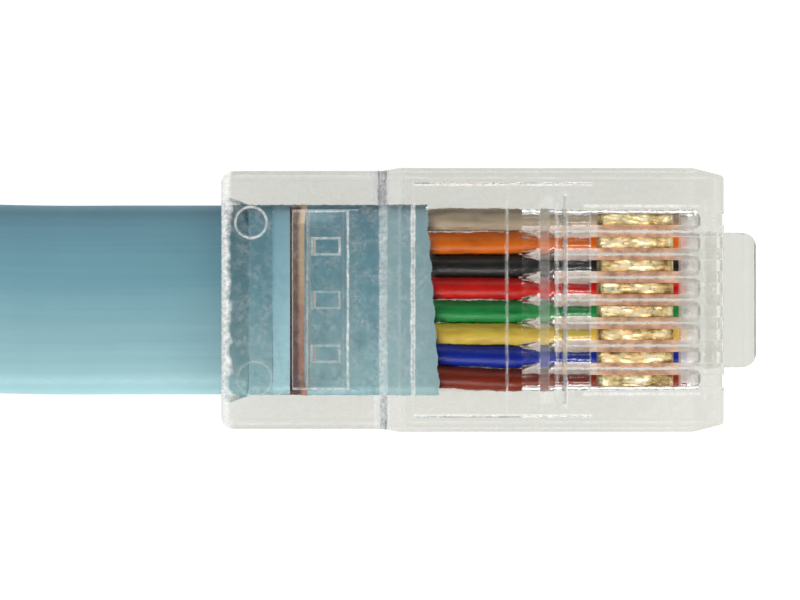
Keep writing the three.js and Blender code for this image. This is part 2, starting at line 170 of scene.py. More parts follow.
class Finish:
    def __init__(self, name, constants):
        self.material = bpy.data.materials.new(name)
        self.material.use_nodes = True
        self.tree = self.material.node_tree
        self.shader = self.tree.nodes["Principled BSDF"]
        for socket, value in constants.items():
            self.shader.inputs[socket].default_value = (*value, 1) if isinstance(value, tuple) else value

    def node(self, kind, settings=None, sockets=None):
        return addNode(self.tree, kind, settings, sockets)

    def signal(self, socket):
        return Signal(self.tree, socket)

    def places(self, scale=(1, 1, 1), source="Object"):  # Object coordinates count millimetres here
        texture = self.node("ShaderNodeTexCoord")
        unit = 1 / mm if source == "Object" else 1
        size = tuple(unit * value for value in scale)
        mapping = self.node("ShaderNodeMapping", {}, {"Vector": texture.outputs[source], "Scale": size})
        return mapping.outputs["Vector"]

    def grain(self, scale, where, detail=3.0, roughness=0.55):
        sockets = {"Vector": where, "Scale": scale, "Detail": detail, "Roughness": roughness}
        return self.signal(self.node("ShaderNodeTexNoise", {}, sockets).outputs["Fac"])

    def ramp(self, factor, stops):
        return self.node("ShaderNodeValToRGB", {"stops": stops}, {"Fac": factor}).outputs["Color"]

    def blend(self, factor, first, second, kind="MIX"):
        settings = {"data_type": "RGBA", "blend_type": kind}
        mix = self.node("ShaderNodeMix", settings, {"Factor": factor})
        for index, value in ((6, first), (7, second)):
            if isinstance(value, tuple):
                mix.inputs[index].default_value = (*value, 1)
            else:
                self.tree.links.new(value, mix.inputs[index])
        return mix.outputs[2]

    def split(self, source="UV"):
        texture = self.node("ShaderNodeTexCoord")
        parts = self.node("ShaderNodeSeparateXYZ", {}, {"Vector": texture.outputs[source]})
        return self.signal(parts.outputs["X"]), self.signal(parts.outputs["Y"])

    def cover(self, mask, constants):  # a second shader laid over the first by a mask
        over = self.node("ShaderNodeBsdfPrincipled", {}, constants)
        sockets = {0: mask, 1: self.shader.outputs[0], 2: over.outputs[0]}
        mix = self.node("ShaderNodeMixShader", {}, sockets)
        self.tree.links.new(mix.outputs[0], self.tree.nodes["Material Output"].inputs["Surface"])

    def feed(self, name, source):
        self.tree.links.new(source.socket if isinstance(source, Signal) else source, self.shader.inputs[name])

    def roughen(self, scale, low, high):  # roughness that varies in patches
        self.feed("Roughness", self.grain(scale, self.places()).spread(0.3, 0.7, low, high))

    def bump(self, height, strength, depth):
        sockets = {"Height": height, "Strength": strength, "Distance": depth * mm}
        self.feed("Normal", self.node("ShaderNodeBump", {}, sockets).outputs["Normal"])


def startClear(name, colour, haze, ripple, clearness=1.0, size=0.9):
    finish = Finish(name, {"Base Color": colour, "IOR": 1.58, "Transmission Weight": clearness})
    where = finish.places()
    finish.feed("Roughness", finish.grain(1.3, where, 4).spread(0.3, 0.75, *haze))
    waves = finish.grain(size, where, 2) * 0.7 + finish.grain(10 * size, where, 2) * 0.12
    finish.bump(waves, ripple, 0.12)
    return finish


def clearPlastic(*look):
    return startClear(*look).material


# Milky marks and painted highlights on the housing's top, in the plug's own frame: places, half widths and
# strengths
topMarksAndHighlights = {
    "rim": (0.26, 0.8),  # reach from the rear edge, and how far it strays
    # x, half width, strength and reach to each side
    "across": [
        (3.84, 0.05, 0.45, 3.95), (7.15, 0.1, 0.5, 5.75), (7.28, 0.07, 0.4, 5.3), (7.92, 0.03, 0.15, 5.3),
        (8.52, 0.07, 0.85, 4.2), (12.68, 0.04, 0.3, 4.3), (14.92, 0.04, 0.45, 4.3), (15.27, 0.05, 0.75, 4.7),
        (21.45, 0.06, 0.3, 4.4), (21.9, 0.03, 0.3, 5.4),
    ],
    # distance aside, half width, strength, start and end
    "along": [
        (5.12, 0.05, 0.9, 8.6, 16.4), (5.4, 0.03, 0.3, 8.0, 21.6), (5.68, 0.02, 0.35, 8.0, 21.0),
        (4.16, 0.05, 0.8, 16.1, 21.2), (5.5, 0.03, 0.3, 0.8, 7.0),
    ],
    "zones": [(14.34, 0.22, 0.2), (16.5, 0.14, 0.25), (21.6, 0.5, 0.15)],
    "zoneHalf": 4.2,
    # x, half length, y, half width and strength of each outline
    "frames": [
        (4.2, 1.42, 0, 3.97, 0.95), (4.63, 0.62, 2.4, 0.36, 0.65), (4.63, 0.62, 0, 0.36, 0.35),
        (4.63, 0.62, -2.4, 0.36, 0.45),
    ],
    "rings": [(1.34, 3.44, 0.69, 0.8), (1.5, -3.5, 0.76, 0.25)],
    "haze": 0.16,  # in specks, beside the wires and over the cable's end
    # grey streaks along the edges: distance aside, half width, fade, strength, start, end and its fade
    "dirtAndShade": [
        (5.62, 0.05, 0.05, 1.0, 0.3, 6.9, 0.2), (5.76, 0.03, 0.05, 0.6, 9.0, 21.0, 0.3),
        (5.28, 0.04, 0.06, 0.6, -1, 30, 1), (5.56, 0.03, 0.05, 0.7, -1, 30, 1),
    ],
}


def clearTop():
    finish = startClear("clear_top", (0.95, 0.955, 0.94), (0.01, 0.05), 0.22)
    x, y = finish.split()
    where = finish.places(source="UV")
    aside = abs(y)
    speck = finish.grain(4.5, where, 4, 0.7).spread(0.38, 0.62)
    patch = finish.grain(1.4, where, 3)
    streak = finish.grain(1.0, finish.places((0.8, 7, 1), "UV"), 3).spread(0.35, 0.65)
    broken = speck.spread(0, 1, 0.4, 1) * finish.grain(0.8, where, 2).spread(0.3, 0.6, 0.5, 1)
    reach, stray = topMarksAndHighlights["rim"]
    mask = (x - (patch - 0.5) * stray).spread(reach, reach + 0.25, 1, 0) * speck.spread(0, 1, 0.5, 0.95)
    strayX, strayY = x + (patch - 0.5) * 0.14, aside + (patch - 0.5) * 0.08
    for middle, half, strength, side in topMarksAndHighlights["across"]:
        mask = mask | strayX.near(middle, half, 0.06) * aside.near(0, side, 0.1) * broken * strength
    for middle, half, strength, start, end in topMarksAndHighlights["along"]:
        length = x.near((start + end) / 2, (end - start) / 2, 0.1)
        mask = mask | strayY.near(middle, half, 0.04) * length * broken * strength
    inside = aside.near(0, topMarksAndHighlights["zoneHalf"], 0.1) * streak.spread(0, 1, 0.3, 1)
    for middle, half, strength in topMarksAndHighlights["zones"]:
        mask = mask | x.near(middle, half, 0.06) * inside * strength
    for middleX, halfX, middleY, halfY, strength in topMarksAndHighlights["frames"]:
        outline = (abs(strayX - middleX) - halfX) | (abs(y - middleY) - halfY)
        mask = mask | abs(outline).spread(0.035, 0.075, 1, 0) * broken * strength
    for middleX, middleY, radius, strength in topMarksAndHighlights["rings"]:
        sockets = {0: where, 1: (middleX, middleY, 0)}
        away = finish.node("ShaderNodeVectorMath", {"operation": "DISTANCE"}, sockets).outputs["Value"]
        mask = mask | finish.signal(away).near(radius, 0.03, 0.05) * broken * strength
    beside = aside.spread(4.1, 4.4) | x.spread(9.0, 9.6, 1, 0)
    mask = mask | speck * patch.spread(0.4, 0.65) * beside * topMarksAndHighlights["haze"]
    # the milky cover: frosted rim, specks and bands, and painted highlights along the lines, frames, rings
    # and groove edges
    finish.cover(mask, {"Base Color": (0.9, 0.9, 0.87), "Roughness": 0.35})
    # Darker streaks and patches, and painted shade that darkens the nose end of the top
    dirtAndShade = finish.grain(1.6, finish.places((0.35, 2.2, 1), "UV"), 4).spread(0.5, 0.66) * 0.5
    dirtAndShade = dirtAndShade | patch.spread(0.35, 0.6) * 0.6 | x.near(21.8, 0.7, 0.4) * 0.8
    for middle, half, fade, strength, start, end, endFade in topMarksAndHighlights["dirtAndShade"]:
        length = x.near((start + end) / 2, (end - start) / 2, endFade)
        dirtAndShade = dirtAndShade | strayY.near(middle, half, fade) * length * strength
    finish.feed("Base Color", finish.blend(dirtAndShade, (0.95, 0.955, 0.935), (0.76, 0.76, 0.72)))
    return finish.material


def divider():  # the plastic between the wires' channels, with a painted reflection of the gold beside it and a painted glow
    finish = startClear("clear_divider_glow", (0.9, 0.9, 0.9), (0.2, 0.4), 0.8, 0.35, 2.5)
    # painted light: the divider glows, faintly grey, and tan beside the gold
    finish.shader.inputs["Emission Strength"].default_value = 0.4
    x, y = finish.split()
    patch = finish.grain(2.5, finish.places(source="UV"), 4, 0.65)
    goldReflectionZone = x.near(18.5, 1.6, 0.5) * patch.spread(0.35, 0.6, 0.6, 1)
    # painted reflections: pinkish from the wires, tan from the gold
    pale = finish.ramp(patch, [(0.35, (0.80, 0.66, 0.58)), (0.6, (0.95, 0.88, 0.83))])
    tan = finish.ramp(patch, [(0.35, (0.42, 0.25, 0.17)), (0.6, (0.80, 0.56, 0.40))])
    nose = x.spread(20.3, 20.7)
    finish.feed("Base Color", finish.blend(nose, finish.blend(goldReflectionZone, pale, tan), (0.86, 0.86, 0.83)))
    finish.feed("Emission Color", finish.blend(goldReflectionZone, (0.15, 0.13, 0.12), tan))
    return finish.material


def goldPlate():
    finish = Finish("gold_plate", {"Metallic": 1.0})
    where = finish.places()
    along, across = finish.split()
    # painted shade: darker at the blade's sides and ends; random tone elsewhere
    sides = abs(across - 0.5).spread(0.2, 0.5) * 0.16
    ends = along.spread(0.0, 0.08, 0.16, 0.0) + along.spread(0.62, 0.72) * 0.07
    toneAndShade = finish.grain(1.8, finish.places((0.6, 1, 1)), 3) - sides - ends
    stops = [
        (0.2, (0.22, 0.15, 0.05)), (0.31, (0.55, 0.41, 0.18)), (0.42, (0.84, 0.69, 0.36)),
        (0.55, (1.0, 0.92, 0.62)),
    ]
    finish.feed("Base Color", finish.ramp(toneAndShade, stops))
    finish.roughen(4.0, 0.2, 0.38)
    worms = abs(finish.grain(1.1, finish.places((1, 1.9, 1)), 1) - 0.5) * 4
    rough = along.spread(0.6, 0.75) * 0.8 + 0.3
    finish.bump(worms + finish.grain(2.6, where, 2) * rough, 0.5, 0.14)
    return finish.material


def tinnedStrand():
    finish = Finish("tinned_strand", {"Metallic": 1.0})
    stops = [(0.35, (0.66, 0.52, 0.44)), (0.7, (0.95, 0.90, 0.86))]
    finish.feed("Base Color", finish.ramp(finish.grain(5.0, finish.places()), stops))
    finish.roughen(8.0, 0.2, 0.45)
    return finish.material


def insulation(name, colour):
    finish = Finish("insulation_" + name, {"Specular IOR Level": 0.22})
    where = finish.places((0.25, 1, 1))
    streak = finish.grain(3.0, where, 4)
    dark = tuple(0.62 * part for part in colour)
    light = tuple(min(1, 1.25 * part + 0.003) for part in colour)
    stops = [(0.25, dark), (0.5, colour), (0.8, light)]
    finish.feed("Base Color", finish.ramp(streak, stops))
    finish.roughen(6.0, 0.28, 0.5)
    finish.bump(finish.grain(2.2, where, 3), 0.25, 0.05)
    return finish.material


def jacketPlastic(name, paintedBrightness, sleeve=False):
    finish = Finish(name, {"Specular IOR Level": 0.3})
    across, along = finish.split()
    stretched = finish.places((30, 0.5, 1), "UV")
    streak = finish.grain(1.0, stretched, 4)
    cloud = finish.grain(0.35, finish.places(), 3)
    # painted shade: the jacket lighter along one long edge and darker along the other, with random streaks
    # and clouds
    shade = across + (streak - 0.5) * 0.22 + (cloud - 0.5) * 0.12
    paintedShadeColours = [
        (0.0, (0.34, 0.57, 0.60)), (0.3, (0.24, 0.43, 0.48)), (0.62, (0.14, 0.31, 0.37)),
        (1.0, (0.10, 0.22, 0.28)),
    ]
    stops = [(place, tuple(paintedBrightness * part for part in colour)) for place, colour in paintedShadeColours]
    colour = finish.ramp(shade, stops)
    if sleeve:  # mottled where the housing grips it; paler at the bar and towards the wires, which is painted light
        mottle = finish.grain(2.2, finish.places((1, 0.6, 1)), 5, 0.7).spread(0.42, 0.62)
        band = finish.grain(1.0, finish.places((22, 1.5, 1), "UV"), 3).spread(0.35, 0.65)
        pale = along.spread(0.70, 0.76) * 0.5 | along.near(0.27, 0.03, 0.015) * 0.2
        colour = finish.blend(mottle * 0.4 | band * 0.2, colour, (0.15, 0.25, 0.31))
        colour = finish.blend(pale, colour, (0.52, 0.72, 0.73))
    finish.feed("Base Color", colour)
    finish.roughen(5.0, 0.38, 0.56)
    ribs = (across * (2 * math.pi * plug["wires"])).sine()
    finish.bump(streak * 0.5 + ribs * 0.12 + finish.grain(14.0, finish.places(), 2) * 0.25, 0.35, 0.06)
    return finish.material


def barBite():  # the strip of jacket that the wedge bar has bruised
    finish = Finish("bar_bite", {})
    across, along = finish.split()
    shade = across + (finish.grain(3.0, finish.places(), 4) - 0.5) * 0.3
    pale = [
        (0.1, (0.52, 0.24, 0.18)), (0.45, (0.58, 0.34, 0.24)), (0.6, (0.78, 0.54, 0.33)),
        (0.95, (0.76, 0.55, 0.35)),
    ]
    dark = [
        (0.1, (0.07, 0.015, 0.012)), (0.45, (0.09, 0.018, 0.015)), (0.6, (0.12, 0.05, 0.022)),
        (0.95, (0.10, 0.05, 0.025)),
    ]
    step = (along + (finish.grain(4.0, finish.places(), 3) - 0.5) * 0.012).spread(0.345, 0.362)
    finish.feed("Base Color", finish.blend(step, finish.ramp(shade, dark), finish.ramp(shade, pale)))
    finish.roughen(6.0, 0.3, 0.5)
    return finish.material


def strapWeave():
    finish = Finish("strap_weave", {"Sheen Weight": 0.4, "Sheen Roughness": 0.5})
    across, along = finish.split()
    weave = (across * 110).sine() * (along * 14).sine()
    fuzz = finish.grain(7.0, finish.places(), 4)
    stops = [(0.0, (0.012, 0.013, 0.015)), (0.6, (0.035, 0.037, 0.042)), (1.0, (0.075, 0.078, 0.085))]
    finish.feed("Base Color", finish.ramp(weave.spread(-1, 1) * 0.6 + fuzz * 0.4, stops))
    finish.feed("Roughness", fuzz.spread(0.3, 0.7, 0.75, 0.95))
    finish.bump(weave + fuzz, 0.6, 0.1)
    return finish.material


finishes = {
    "clear": clearPlastic("clear_plastic", (0.95, 0.955, 0.94), (0.01, 0.05), 0.18),
    # painted shade: a grey copy of the clear plastic for the faces underneath, darkening what shows through
    # them
    "shadedUnderside": clearPlastic("clear_underside", (0.54, 0.54, 0.48), (0.02, 0.09), 0.25),
    "frosted": clearPlastic("clear_frosted", (0.96, 0.96, 0.95), (0.15, 0.3), 0.6, 0.6, 2.5),
    # painted shade: a dark copy of the clear plastic for the slanted edges along the top's sides
    "edge": clearPlastic("clear_edge", (0.2, 0.2, 0.18), (0.05, 0.2), 0.4),
    # painted shade: a grey copy of the clear plastic for the latch's tongue beyond the nose
    "shadedTongue": clearPlastic("clear_tongue", (0.66, 0.665, 0.61), (0.02, 0.1), 0.45),
    "top": clearTop(),
    "divider": divider(),
    "gold": goldPlate(),
    "tinned": tinnedStrand(),
    "jacket": jacketPlastic("jacket_plastic", 0.93),
    # painted light: the sleeve inside the housing is a 1.4 times brighter copy of the jacket's colour
    "sleeve": jacketPlastic("jacket_sleeve", 1.4, True),
    "bite": barBite(),
    "strap": strapWeave(),
}
finishes.update({name: insulation(name, colour) for name, colour in wireColours.items()})
print("finishes made:", len(finishes))


# Meshes
def newObject(name, mesh):
    made = bpy.data.objects.new(name, mesh)
    scene.collection.objects.link(made)
    return made


def plainMesh(name, points, edges=(), faces=()):
    mesh = bpy.data.meshes.new(name)
    mesh.from_pydata(points, edges, faces)
    return mesh


def faceOutwards(mesh, merge=False):
    work = bmesh.new()
    work.from_mesh(mesh)
    if merge:
        bmesh.ops.remove_doubles(work, verts=work.verts, dist=1e-5)
    bmesh.ops.recalc_face_normals(work, faces=work.faces)
    work.to_mesh(mesh)
    work.free()
    return mesh


def meshFrom(name, points, faces):
    return faceOutwards(plainMesh(name, points, faces=faces), merge=True)


def mapSurface(mesh, rule, name="UVMap"):  # the rule gives u and v for a vertex's number
    layer = mesh.uv_layers.new(name=name)
    for loop in mesh.loops:
        layer.data[loop.index].uv = rule(loop.vertex_index)


def soften(mesh, width, segments=3, degrees=28):
    work = bmesh.new()
    work.from_mesh(mesh)
    bmesh.ops.dissolve_limit(work, angle_limit=0.001, verts=work.verts, edges=work.edges)
    least = math.radians(degrees)
    sharp = [edge for edge in work.edges if edge.is_manifold and edge.calc_face_angle(0) > least]
    bmesh.ops.bevel(
        work, geom=sharp, offset=width, segments=segments, profile=0.5, affect="EDGES", clamp_overlap=True,
    )
    work.to_mesh(mesh)
    work.free()
    return mesh


def settle(carrier):  # the object's modifiers become its plain mesh
    bpy.context.view_layer.update()
    graph = bpy.context.evaluated_depsgraph_get()
    shape = carrier.evaluated_get(graph)
    mesh = bpy.data.meshes.new_from_object(shape, preserve_all_data_layers=True, depsgraph=graph)
    carrier.modifiers.clear()
    carrier.data = mesh
    return carrier


def roundedOutline(corners, steps=5, closed=True):
    points = []
    for i, corner in enumerate(corners):
        here = Vector(corner[:2])
        radius = corner[2] if len(corner) > 2 else 0
        if radius == 0 or (not closed and i in (0, len(corners) - 1)):
            points.append(tuple(here))
            continue
        enter = here + (Vector(corners[i - 1][:2]) - here).normalized() * radius
        leave = here + (Vector(corners[(i + 1) % len(corners)][:2]) - here).normalized() * radius
        for k in range(steps + 1):
            t = k / steps
            points.append(tuple(enter * (1 - t) ** 2 + here * 2 * t * (1 - t) + leave * t * t))
    return points


def rectangle(low, high, corner=0, steps=5):
    (a, b), (c, d) = low, high
    return roundedOutline([(a, b, corner), (c, b, corner), (c, d, corner), (a, d, corner)], steps)


def prism(name, outline, low, high, axis="y"):
    turns = {"x": lambda a, b, c: (c, a, b), "y": lambda a, b, c: (a, c, b), "z": lambda a, b, c: (a, b, c)}
    turn = turns[axis]
    count = len(outline)
    points = [turn(a, b, low) for a, b in outline] + [turn(a, b, high) for a, b in outline]
    faces = [tuple(range(count)), tuple(range(count, 2 * count))]
    faces += [(i, (i + 1) % count, (i + 1) % count + count, i + count) for i in range(count)]
    return meshFrom(name, points, faces)


def solid(name, outline, low, high, axis="y"):
    return newObject(name, prism(name, outline, low, high, axis))


def box(name, xs, ys, zs):
    return prism(name, rectangle(*zip(xs, ys)), *zs, axis="z")


def loft(name, rings, y, z, sides=28):  # each ring holds x, half width and half height
    angles = [2 * math.pi * (i + 0.5) / sides for i in range(sides)]
    points = [(x, y + wide * math.cos(a), z + high * math.sin(a)) for x, wide, high in rings for a in angles]
    last = (len(rings) - 1) * sides
    faces = [tuple(range(sides)), tuple(range(last, last + sides))]
    for base in range(0, last, sides):
        for i in range(sides):
            following = (i + 1) % sides
            faces.append((base + i, base + following, base + following + sides, base + i + sides))
    return meshFrom(name, points, faces)


def combine(target, tools, operation="DIFFERENCE"):
    shelf = bpy.data.collections.new("tools")
    scene.collection.children.link(shelf)
    for tool in tools:
        shelf.objects.link(tool)
    modifier = target.modifiers.new("combine", "BOOLEAN")
    modifier.operation = operation
    modifier.operand_type = "COLLECTION"
    modifier.collection = shelf
    modifier.solver = "EXACT"
    settle(target)
    for tool in tools:
        bpy.data.objects.remove(tool)
    bpy.data.collections.remove(shelf)
    return target


def shadeBySize(piece, degrees=35):  # smooth rounded edges and keep broad faces flat
    for face in piece.data.polygons:
        face.use_smooth = True
    piece.data.set_sharp_from_angle(angle=math.radians(degrees))
    modifier = piece.modifiers.new("weights", "WEIGHTED_NORMAL")
    modifier.keep_sharp = True
    return settle(piece)


# Geometry trees
def newTree(name, inputs):
    tree = bpy.data.node_groups.new(name, "GeometryNodeTree")
    for label, kind in inputs.items():
        tree.interface.new_socket(name=label, in_out="INPUT", socket_type="NodeSocket" + kind)
    tree.interface.new_socket(name="Geometry", in_out="OUTPUT", socket_type="NodeSocketGeometry")
    return tree, addNode(tree, "NodeGroupInput").outputs


def growNode(tree, kind, sockets=None, settings=None):
    return addNode(tree, "GeometryNode" + kind, settings, sockets)


def endTree(tree, geometry, finish):
    real = growNode(tree, "RealizeInstances", {"Geometry": geometry})
    painted = growNode(tree, "SetMaterial", {"Geometry": real.outputs[0], "Material": finish})
    addNode(tree, "NodeGroupOutput", {}, {"Geometry": painted.outputs[0]})
    return tree


def grow(name, seed, tree, values):
    carrier = newObject(name, seed)
    modifier = carrier.modifiers.new("grow", "NODES")
    modifier.node_group = tree
    for item in tree.interface.items_tree:
        if item.item_type == "SOCKET" and item.in_out == "INPUT" and item.name in values:
            modifier[item.identifier] = values[item.name]
    return settle(carrier)


def rowAcross():  # copies of the seed side by side across the plug
    inputs = {"Geometry": "Geometry", "Count": "Int", "Pitch": "Float", "Finish": "Material"}
    tree, given = newTree("row_across", inputs)
    first = (Signal(tree, given["Count"]) - 1) * given["Pitch"] * 0.5
    start = addNode(tree, "ShaderNodeCombineXYZ", {}, {"Y": first})
    step = addNode(tree, "ShaderNodeCombineXYZ", {}, {"Y": Signal(tree, given["Pitch"]) * -1.0})
    sockets = {"Count": given["Count"], "Start Location": start.outputs[0], "Offset": step.outputs[0]}
    line = growNode(tree, "MeshLine", sockets)
    copies = growNode(tree, "InstanceOnPoints", {"Points": line.outputs[0], "Instance": given["Geometry"]})
    return endTree(tree, copies.outputs[0], given["Finish"])


def tubeAlong():  # a round tube along the seed's line of points, a little fuller at its start
    inputs = {
        "Geometry": "Geometry", "Radius": "Float", "Bulge": "Float", "Bulge End": "Float",
        "Slim Start": "Float", "Rings": "Int", "Finish": "Material",
    }
    tree, given = newTree("tube_along", inputs)
    line = growNode(tree, "MeshToCurve", {"Mesh": given["Geometry"]})
    smooth = growNode(tree, "CurveSplineType", {"Curve": line.outputs[0]}, {"spline_type": "CATMULL_ROM"})
    even = growNode(tree, "ResampleCurve", {"Curve": smooth.outputs[0], "Count": given["Rings"]})
    along = Signal(tree, growNode(tree, "SplineParameter").outputs["Factor"])
    swell = (1 - along.spread(given["Bulge End"], given["Slim Start"])) * given["Bulge"] + 1.0
    thick = growNode(tree, "SetCurveRadius", {"Curve": even.outputs[0], "Radius": swell})
    section = growNode(tree, "CurvePrimitiveCircle", {"Resolution": 28, "Radius": given["Radius"]})
    sockets = {"Curve": thick.outputs[0], "Profile Curve": section.outputs[0], "Fill Caps": True}
    tube = growNode(tree, "CurveToMesh", sockets)
    if "Scale" in tube.inputs:
        tree.links.new(growNode(tree, "InputRadius").outputs[0], tube.inputs["Scale"])
    smoothed = growNode(tree, "SetShadeSmooth", {"Geometry": tube.outputs[0]})
    return endTree(tree, smoothed.outputs[0], given["Finish"])


def strandEnds():  # seven fine strands at the end of each wire
    inputs = {
        "Geometry": "Geometry", "Strand Radius": "Float", "Strand Length": "Float", "Spread": "Float",
        "Finish": "Material",
    }
    tree, given = newTree("strand_ends", inputs)
    lie = (0, math.pi / 2, 0)
    sockets = {"Vertices": 10, "Radius": given["Strand Radius"], "Depth": given["Strand Length"]}
    strand = growNode(tree, "MeshCylinder", sockets)
    lying = growNode(tree, "Transform", {"Geometry": strand.outputs[0], "Rotation": lie})
    ring = growNode(tree, "MeshCircle", {"Vertices": 6, "Radius": given["Spread"]})
    turned = growNode(tree, "Transform", {"Geometry": ring.outputs[0], "Rotation": lie})
    middle = growNode(tree, "MeshLine", {"Count": 1})
    places = growNode(tree, "JoinGeometry")
    tree.links.new(turned.outputs[0], places.inputs[0])
    tree.links.new(middle.outputs[0], places.inputs[0])
    bundle = growNode(tree, "InstanceOnPoints", {"Points": places.outputs[0], "Instance": lying.outputs[0]})
    ends = growNode(tree, "InstanceOnPoints", {"Points": given["Geometry"], "Instance": bundle.outputs[0]})
    return endTree(tree, ends.outputs[0], given["Finish"])


trees = {"row": rowAcross(), "tube": tubeAlong(), "strands": strandEnds()}


def cutterRow(name, seed):
    values = {"Count": plug["wires"], "Pitch": plug["pitch"], "Finish": finishes["clear"]}
    return grow(name, seed, trees["row"], values)


# The cable's route in millimetres
route = {
    # distance gone from the near plug, shift aside, share of the way down to the coil, and twist
    "run": [
        (0, 0, 0, 0), (4, 0, 0, 0), (8, 0, 0.03, 0), (12, 0.1, 0.1, 2), (17, 0.3, 0.22, 10),
        (22, 0.7, 0.36, 24), (27, 1.3, 0.5, 41), (32, 2.0, 0.63, 57), (37, 2.8, 0.75, 70),
        (42, 3.5, 0.85, 80), (47, 4.1, 0.92, 86), (52, 4.4, 0.96, 89), (57, 4.55, 0.99, 90),
        (62, 4.6, 1, 90), (67.75, 4.6, 1, 90),
    ],
    # x and y from the coil's inner end, and the share of the rise to the far plug
    "tail": [
        (0, 0, 0), (0.68, -5.18, 0.05), (2.68, -10.0, 0.2), (5.86, -14.14, 0.4), (10.0, -17.32, 0.6),
        (14.82, -19.32, 0.8), (20.0, -20.0, 0.95), (25.18, -19.32, 1), (30.0, -17.32, 1), (34.33, -14.82, 1),
    ],
    "outerRadius": 52.4,
    "turns": 6.25,
    "pitch": 3.05,
    "stepsPerPoint": 6,
    "stepsPerTurn": 120,
    "wander": 0.1,  # how far the turns rise and fall
    "easeSteps": 60,  # steps over which that sets in at each end
    "lift": 0.7,  # the straps under the coil
    "faceGap": 0.3,
    "restGap": 0.01,
}
exitPoint = Vector((housingLow.x, 0, housingLow.z + plug["axis"]))
coilHeight = route["lift"] + jacket["width"] / 2
farHeight = plug["width"] / 2 + route["restGap"]
innerRadius = route["outerRadius"] - route["turns"] * route["pitch"]
joinPoint = Vector((exitPoint.x - route["run"][-1][0], route["run"][-1][1], coilHeight))
coilCentre = joinPoint - Vector((0, route["outerRadius"], 0))


def throughPoints(points, steps):  # a smooth line through the points
    made = []
    last = len(points) - 1
    for i in range(last):
        a, b, c, d = (Vector(points[k]) if 0 <= k <= last else None for k in (i - 1, i, i + 1, i + 2))
        a = 2 * b - c if a is None else a
        d = 2 * c - b if d is None else d
        for k in range(steps):
            t = k / steps
            start = b + (c - a) * t / 2 + (2 * a - 5 * b + 4 * c - d) * t * t / 2
            made.append(start + (3 * (b - c) + d - a) * t**3 / 2)
    return made + [Vector(points[last])]


def runLine():  # four numbers a point: x, y, z and the twist in degrees
    rows = [
        (exitPoint.x - gone, aside, exitPoint.z + (coilHeight - exitPoint.z) * sink, twist)
        for gone, aside, sink, twist in route["run"]
    ]
    return throughPoints(rows, route["stepsPerPoint"])


def coilLine():
    count = round(route["turns"] * route["stepsPerTurn"])
    made = []
    for i in range(1, count):
        turn = i / route["stepsPerTurn"]
        angle = 2 * math.pi * (turn + 0.25)
        radius = route["outerRadius"] - route["pitch"] * turn
        ease = min(1, i / route["easeSteps"], (count - i) / route["easeSteps"])
        drift = 0.5 + 0.5 * noise.noise(Vector((2 * math.cos(angle), 2 * math.sin(angle), turn)))
        x, y = coilCentre.x + radius * math.cos(angle), coilCentre.y + radius * math.sin(angle)
        made.append(Vector((x, y, coilHeight + route["wander"] * ease * drift, 90)))
    return made


def tailLine():
    start = coilCentre - Vector((innerRadius, 0, 0))
    climb = farHeight - coilHeight
    rows = [(start.x + x, start.y + y, coilHeight + climb * rise, 90) for x, y, rise in route["tail"]]
    return throughPoints(rows, route["stepsPerPoint"])


def headingAt(line, i):
    ahead = line[min(i + 1, len(line) - 1)].to_3d()
    behind = line[max(i - 1, 0)].to_3d()
    return (ahead - behind).normalized()


cableLine = runLine() + coilLine() + tailLine()
farHeading = headingAt(cableLine, len(cableLine) - 1)
farHeading = Vector((farHeading.x, farHeading.y, 0)).normalized()
farSide = farHeading.cross(Vector((0, 0, 1)))


def jacketSection(faceSteps, cornerSteps, corner, crown):  # points (u, v) across thickness and width
    halfU = jacket["thickness"] / 2
    halfV = jacket["width"] / 2
    arc = [math.pi / 2 * k / cornerSteps for k in range(cornerSteps + 1)]
    half = [(halfU - corner + corner * math.sin(a), corner - corner * math.cos(a) - halfV) for a in arc]
    flat = [(halfU, (2 * k / faceSteps - 1) * (halfV - corner)) for k in range(1, faceSteps)]
    over = [(0, -halfV)] + half + flat + [(u, -v) for u, v in reversed(half)] + [(0, halfV)]
    over = [(u * (1 - crown * (v / halfV) ** 2), v) for u, v in over]
    return over + [(-u, v) for u, v in reversed(over[1:-1])]


def sweep(name, section, rings, distances, finish, mirrored=False):
    count = len(section)
    half = count // 2
    points = [point for ring in rings for point in ring]
    faces = []
    for i in range(len(rings) - 1):
        for k in range(count):
            following = (k + 1) % count
            low, high = i * count, (i + 1) * count
            faces.append((low + k, high + k, high + following, low + following))
    for base in (0, (len(rings) - 1) * count):
        for k in range(half):
            corners = [base + k, base + k + 1, base + (count - k - 1) % count, base + (count - k) % count]
            faces.append(tuple(dict.fromkeys(corners)))

    def spot(number):
        ring, k = divmod(number, count)
        across = section[k][1] / jacket["width"] + 0.5
        return (1 - across if mirrored else across, distances[ring] / 10)

    mesh = plainMesh(name, points, faces=faces)
    mapSurface(mesh, spot)
    faceOutwards(mesh)
    mesh.materials.append(finish)
    return shadeBySize(newObject(name, mesh), 40)


